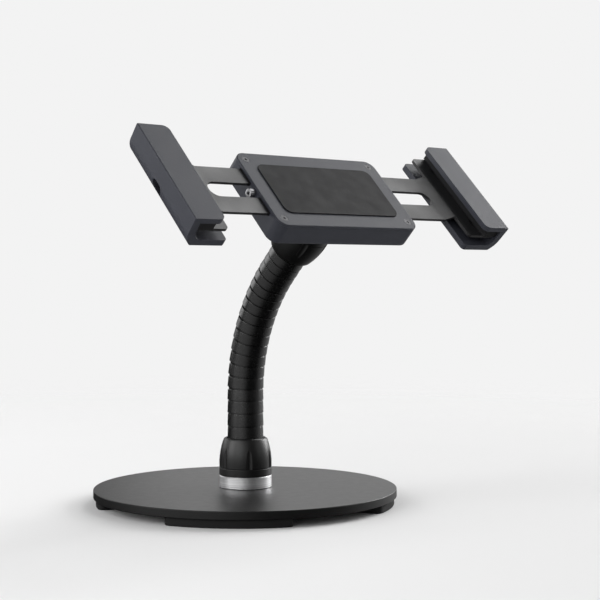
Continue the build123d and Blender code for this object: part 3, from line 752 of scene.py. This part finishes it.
def knurledHead():
    radius, length = widthScrew["headRadius"], widthScrew["headLength"]
    lowEdge, highEdge = widthScrew["headEdges"]
    corners = [(0, 0, 0), (radius, 0, lowEdge), (radius, length, highEdge), (0, length, 0)]
    head = turnPiece("widthScrew", roundedOutline(corners, 3), 96)
    cutRadius, cutLength = widthScrew["knurlRadius"], widthScrew["knurlLength"]
    cuts = []
    for number in range(widthScrew["knurls"]):
        place = Matrix.Rotation(math.tau * number / widthScrew["knurls"], 4, "Z") \
            @ Matrix.Translation((widthScrew["knurlReach"] * mm, 0, widthScrew["knurlLow"] * mm))
        cut = turnPiece("knurl", [(0, 0), (cutRadius, 0), (cutRadius, cutLength), (0, cutLength)], 8)
        cuts.append(movePiece(cut, place))
    hexagon = arcPoints((0, 0), widthScrew["flats"] / math.sqrt(3), 0, 300, 5)
    keyTool = raisePiece("keyTool", hexagon, -1, widthScrew["socketDepth"])
    cutWith(head, [joinPieces("knurl", cuts), keyTool])
    return head


def threadOutline():
    crest, root, step = widthScrew["crest"], widthScrew["root"], widthScrew["threadStep"]
    low, height = widthScrew["headLength"], widthScrew["headLength"] + widthScrew["threadFrom"]
    end = low + widthScrew["length"]
    outline = [(0, low - widthScrew["overlap"]), (root, low - widthScrew["overlap"]),
               (crest, low - widthScrew["neckGap"]), (crest, height)]
    while height + step < end - widthScrew["threadEnd"]:
        outline += [(root, height + step * 0.5), (crest, height + step)]
        height += step
    return outline + [(widthScrew["tip"], end), (0, end)]


screw = joinPieces("widthScrew", [knurledHead(), turnPiece("screwRod", threadOutline(), 24)])
smoothFaces(screw)
sideways = Matrix.Rotation(math.pi / 2, 4, "Y")
movePiece(screw, seatPlace(widthScrew["start"], 0, -widthScrew["drop"]) @ sideways)
givePiece(screw, "zincSteel", "width_screw", "screw_steel", "width_screw")
print("width screw made")


# Floor: pale, with painted shade: its colour darkens towards the key light's side, and it fades into the
# backdrop
studioFloor = {"size": 12.0, "rough": 0.9, "specular": 0.1, "paintedShadeSide": (0.94, -0.342, 0),
               "toneSpan": (-0.3, 0.9), "paintedShadeTones": (0.91, 0.60), "fadeSpan": (0.40, 1.3)}
bpy.ops.mesh.primitive_plane_add(size=studioFloor["size"], location=(0, 0, 0))
floor = bpy.context.object
floor.name = "studioFloor"
floorColour = (studioFloor["paintedShadeTones"][0],) * 3
floorFinish, floorTree, floorShader = newFinish("studioFloorFinish", floorColour, studioFloor["rough"], 0.0,
                                                studioFloor["specular"])
place = floorTree.nodes.new("ShaderNodeTexCoord").outputs["Object"]
reach = addMath(floorTree, "ShaderNodeVectorMath", "LENGTH", place, {})
side = addMath(floorTree, "ShaderNodeVectorMath", "DOT_PRODUCT", place, {1: studioFloor["paintedShadeSide"]})
# painted shade: the floor's colour goes from 0.91 down to 0.60 towards the key light's side
tone = addSpread(floorTree, side, *studioFloor["toneSpan"], *studioFloor["paintedShadeTones"])
fade = addSpread(floorTree, reach, *studioFloor["fadeSpan"], 0.0, 1.0, "SMOOTHSTEP")
clear = floorTree.nodes.new("ShaderNodeBsdfTransparent").outputs["BSDF"]
floorTree.links.new(tone, floorShader.inputs["Base Color"])
floorTree.links.new(addBlend(floorTree, fade, floorShader.outputs["BSDF"], clear),
                    floorTree.nodes["Material Output"].inputs["Surface"])
floor.data.materials.append(floorFinish)
floor.visible_glossy = False

# World: the camera sees the backdrop, and other rays see a dim dome that is lighter low at the sides
studioWorld = {"backdrop": (0.896, 0.896, 0.896), "dome": (0.15, 0.15, 0.15), "lowTones": (0.02, 0.54),
               "sideSpan": (0.45, 0.95), "horizon": (0.0, 0.02)}
world = bpy.data.worlds.new("studioWorld")
bpy.context.scene.world = world
world.use_nodes = True
worldTree = world.node_tree
backdrop = worldTree.nodes["Background"]
backdrop.inputs["Color"].default_value = (*studioWorld["backdrop"], 1)
heading = worldTree.nodes.new("ShaderNodeTexCoord").outputs["Generated"]
split = addNode(worldTree, "ShaderNodeSeparateXYZ", {}, heading)
sideways = addMath(worldTree, "ShaderNodeMath", "ABSOLUTE", split.outputs["X"], {})
lowDome = worldTree.nodes.new("ShaderNodeBackground")
worldTree.links.new(addSpread(worldTree, sideways, *studioWorld["sideSpan"], *studioWorld["lowTones"]),
                    lowDome.inputs["Color"])
highDome = addNode(worldTree, "ShaderNodeBackground", {"Color": (*studioWorld["dome"], 1)})
above = addSpread(worldTree, split.outputs["Z"], *studioWorld["horizon"], 0.0, 1.0)
dome = addBlend(worldTree, above, lowDome.outputs["Background"], highDome.outputs["Background"])
cameraRay = worldTree.nodes.new("ShaderNodeLightPath").outputs["Is Camera Ray"]
worldTree.links.new(addBlend(worldTree, cameraRay, dome, backdrop.outputs["Background"]),
                    worldTree.nodes["World Output"].inputs["Surface"])
bpy.context.scene.view_settings.view_transform = "Standard"

# Soft boxes round the stand: each ring has one height and size, and a power for each azimuth
softboxReach, softboxLift = 3.0, 0.12
softboxes = {
    "high": {"height": 50, "size": 1.7, "powers": {0: 32.0, 180: 15.0}},
    "low": {"height": 18, "size": 1.4, "powers": {0: 60.0, 45: 6.9, 67: 1.0, 90: 6.0, 112: 11.0, 157: 25.0,
                                                  180: 10.5, 202: 13.5, 225: 5.0, 300: 5.0, 340: 15.5}},
}
for ring, box in softboxes.items():
    for azimuth, power in box["powers"].items():
        turn, height = math.radians(azimuth), math.radians(box["height"])
        level = Vector((math.cos(turn), math.sin(turn), 0))
        outward = level * math.cos(height) + up * math.sin(height)
        bpy.ops.object.light_add(type="AREA", location=outward * softboxReach + up * softboxLift)
        lamp = bpy.context.object
        lamp.name = f"{ring}Box{azimuth:03d}"
        lamp.data.size = box["size"]
        lamp.data.energy = power
        lamp.rotation_euler = outward.to_track_quat("Z", "Y").to_euler()
        lamp.visible_camera = False

# Camera: at the photograph's viewing angle
view = {"place": (-0.65495, -0.82847, 0.17077), "turn": (88.937, 0, -40.535), "lens": 85, "sensor": 36,
        "clip": (0.05, 60)}
bpy.ops.object.camera_add(location=view["place"], rotation=[math.radians(angle) for angle in view["turn"]])
camera = bpy.context.object
camera.name = "photoCamera"
camera.data.lens = view["lens"]
camera.data.sensor_width = view["sensor"]
camera.data.clip_start, camera.data.clip_end = view["clip"]
bpy.context.scene.camera = camera
print("studio ready")
